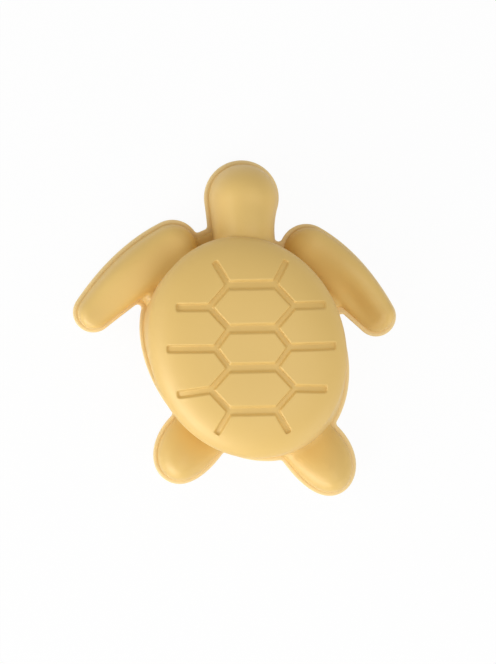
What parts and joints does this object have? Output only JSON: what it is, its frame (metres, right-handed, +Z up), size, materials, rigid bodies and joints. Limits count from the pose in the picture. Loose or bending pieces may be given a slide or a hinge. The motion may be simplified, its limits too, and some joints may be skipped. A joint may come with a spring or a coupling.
{
  "type": "sand mould",
  "caption": "Hollow turtle-shaped sand mould, open underneath: a tall oval carapace with sunken scute grooves, a head, swept flippers and a flat rim round the foot.",
  "frame": {"origin": "under the middle of the outline, on the plane that the rim rests on", "axes": "+Y towards the head, +Z up through the carapace, +X towards the right of the picture"},
  "size_m": [0.1211, 0.126, 0.036],
  "materials": {
    "shell": "satin",
    "rim": "satin"
  },
  "bodies": {
    "root": {"carapace": "shell", "head": "shell", "front_left_flipper": "shell", "front_right_flipper": "shell", "hind_left_flipper": "shell", "hind_right_flipper": "shell", "rim": "rim"}
  },
  "joints": []
}
